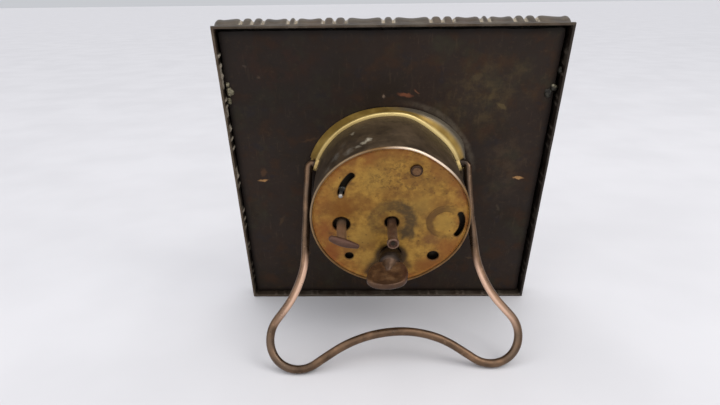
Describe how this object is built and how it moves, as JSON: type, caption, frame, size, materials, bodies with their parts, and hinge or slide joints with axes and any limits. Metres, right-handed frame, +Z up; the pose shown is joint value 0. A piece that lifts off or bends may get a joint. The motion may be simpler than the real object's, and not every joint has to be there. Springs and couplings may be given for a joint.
{
  "type": "table clock",
  "caption": "Square pressed-brass table clock on a folding wire strut, with a drum case behind, a wing winding key and a hand-setting key.",
  "frame": {"origin": "on the surface it stands on, under the middle of the whole object's box", "axes": "+X to the right of someone facing the dial, -Y out of the front of the plaque, +Z up"},
  "size_m": [0.121, 0.0642, 0.1191],
  "materials": {
    "plaque_brass": "aged lacquered brass, browned in the hollows",
    "dark_sheet": "blackened sheet, mottled",
    "solder": "dull grey solder",
    "drum_metal": "dark bronzed steel with light scuffs",
    "strap_brass": "bright polished brass with olive tarnish",
    "wire_copper": "coppery brown wire, worn bright",
    "cover_brass": "golden brass with orange stains",
    "dark_steel": "browned steel",
    "bezel_brass": "polished brass, tarnished in the groove",
    "crystal_glass": "clear",
    "dial_face": "cream enamel print with plain black numerals",
    "movement_brass": "clock brass",
    "steel": "polished steel",
    "spring_steel": "blued spring steel",
    "hand_paint": "black",
    "key_brass": "copper-brown brass, worn"
  },
  "bodies": {
    "case": {"plaque": "plaque_brass", "back_sheet": "dark_sheet", "solder_tacks": "solder", "drum_case": "drum_metal", "retaining_strap": "strap_brass", "rear_cover": "cover_brass", "cover_screw": "dark_steel", "bezel": "bezel_brass", "crystal": "crystal_glass", "dial": "dial_face", "front_plate": "movement_brass", "back_plate": "movement_brass", "pillars": "movement_brass", "pillar_nuts": "movement_brass", "mainspring": "spring_steel", "minute_wheel_stud": "steel", "hairspring": "spring_steel", "hairspring_stud": "steel", "balance_screws": "dark_steel"},
    "stand": {"stand_wire": "wire_copper"},
    "great": {"great_wheel": "movement_brass", "click_screw": "steel", "click_spring": "spring_steel"},
    "pawl": {"click": "steel"},
    "winding": {"ratchet_wheel": "steel", "winding_arbor": "steel", "winding_key": "key_brass"},
    "centre": {"centre_wheel": "movement_brass"},
    "minute": {"centre_arbor": "steel", "set_button": "key_brass", "minute_hand": "hand_paint", "cannon_pinion": "steel"},
    "motion": {"minute_wheel": "movement_brass"},
    "hour": {"hour_wheel": "movement_brass", "hour_hand": "hand_paint"},
    "setting": {"set_arbor": "steel", "set_key": "key_brass"},
    "third": {"third_arbor": "steel", "third_wheel": "movement_brass"},
    "fourth": {"fourth_arbor": "steel", "fourth_wheel": "movement_brass"},
    "escape": {"escape_arbor": "steel", "escape_wheel": "movement_brass"},
    "lever": {"pallet_lever": "movement_brass", "pallet_arbor": "steel"},
    "balance": {"balance_wheel": "movement_brass", "balance_staff": "steel"},
    "regulator": {"regulator_lever": "steel"}
  },
  "joints": [
    {"name": "stand_fold", "type": "hinge", "parent": "case", "child": "stand", "pos_m": [0, -0.00644, 0.06671], "axis": [-1, 0, 0], "range_deg": [0, 38]},
    {"name": "third_spin", "type": "hinge", "parent": "case", "child": "third", "pos_m": [-0.01153, -0.00772, 0.05337], "axis": [0, 0.9736, -0.2284], "continuous": true},
    {"name": "centre_spin", "type": "hinge", "parent": "case", "child": "centre", "pos_m": [0, -0.00317, 0.05526], "axis": [0, 0.9736, -0.2284], "continuous": true},
    {"name": "great_spin", "type": "hinge", "parent": "case", "child": "great", "pos_m": [0, -0.0034, 0.04114], "axis": [0, 0.9736, -0.2284], "continuous": true},
    {"name": "fourth_spin", "type": "hinge", "parent": "case", "child": "fourth", "pos_m": [-0.014, -0.00059, 0.06187], "axis": [0, 0.9736, -0.2284], "continuous": true},
    {"name": "escape_spin", "type": "hinge", "parent": "case", "child": "escape", "pos_m": [-0.00782, 0.00098, 0.06682], "axis": [0, 0.9736, -0.2284], "continuous": true},
    {"name": "winding_turn", "type": "hinge", "parent": "great", "child": "winding", "pos_m": [0, -0.00437, 0.04137], "axis": [0, 0.9736, -0.2284], "continuous": true},
    {"name": "minute_turn", "type": "hinge", "parent": "case", "child": "minute", "pos_m": [0, -0.0129, 0.05754], "axis": [0, 0.9736, -0.2284], "continuous": true},
    {"name": "motion_turn", "type": "hinge", "parent": "case", "child": "motion", "pos_m": [0.009, -0.01214, 0.0608], "axis": [0, 0.9736, -0.2284], "continuous": true},
    {"name": "hour_turn", "type": "hinge", "parent": "case", "child": "hour", "pos_m": [0, -0.01388, 0.05777], "axis": [0, 0.9736, -0.2284], "continuous": true},
    {"name": "setting_turn", "type": "hinge", "parent": "case", "child": "setting", "pos_m": [0.0177, -0.01307, 0.05686], "axis": [0, 0.9736, -0.2284], "continuous": true},
    {"name": "balance_swing", "type": "hinge", "parent": "case", "child": "balance", "pos_m": [0.0064, 0.00704, 0.06375], "axis": [0, 0.9736, -0.2284], "range_deg": [-22.04, 22.04], "stiffness_Nm_per_rad": 0.000002},
    {"name": "lever_rock", "type": "hinge", "parent": "case", "child": "lever", "pos_m": [-0.00166, 0.00189, 0.06589], "axis": [0, 0.9736, -0.2284], "range_deg": [-5.01, 5.01]},
    {"name": "regulator_shift", "type": "hinge", "parent": "case", "child": "regulator", "pos_m": [0.0064, 0.01385, 0.06215], "axis": [0, 0.9736, -0.2284], "range_deg": [-38, 0]},
    {"name": "click_lift", "type": "hinge", "parent": "great", "child": "pawl", "pos_m": [0.00146, -0.00248, 0.04942], "axis": [0, 0.9736, -0.2284], "range_deg": [-10, 0], "stiffness_Nm_per_rad": 0.0002}
  ],
  "couplings": [
    {"joint": "centre_spin", "follows": "third_spin", "ratio": -0.125},
    {"joint": "great_spin", "follows": "third_spin", "ratio": 0.03125},
    {"joint": "fourth_spin", "follows": "third_spin", "ratio": -7.5},
    {"joint": "escape_spin", "follows": "third_spin", "ratio": 50.625},
    {"joint": "motion_turn", "follows": "minute_turn", "ratio": -0.33333},
    {"joint": "hour_turn", "follows": "minute_turn", "ratio": 0.083333},
    {"joint": "setting_turn", "follows": "minute_turn", "ratio": 1},
    {"joint": "lever_rock", "follows": "balance_swing", "ratio": -0.22691}
  ]
}
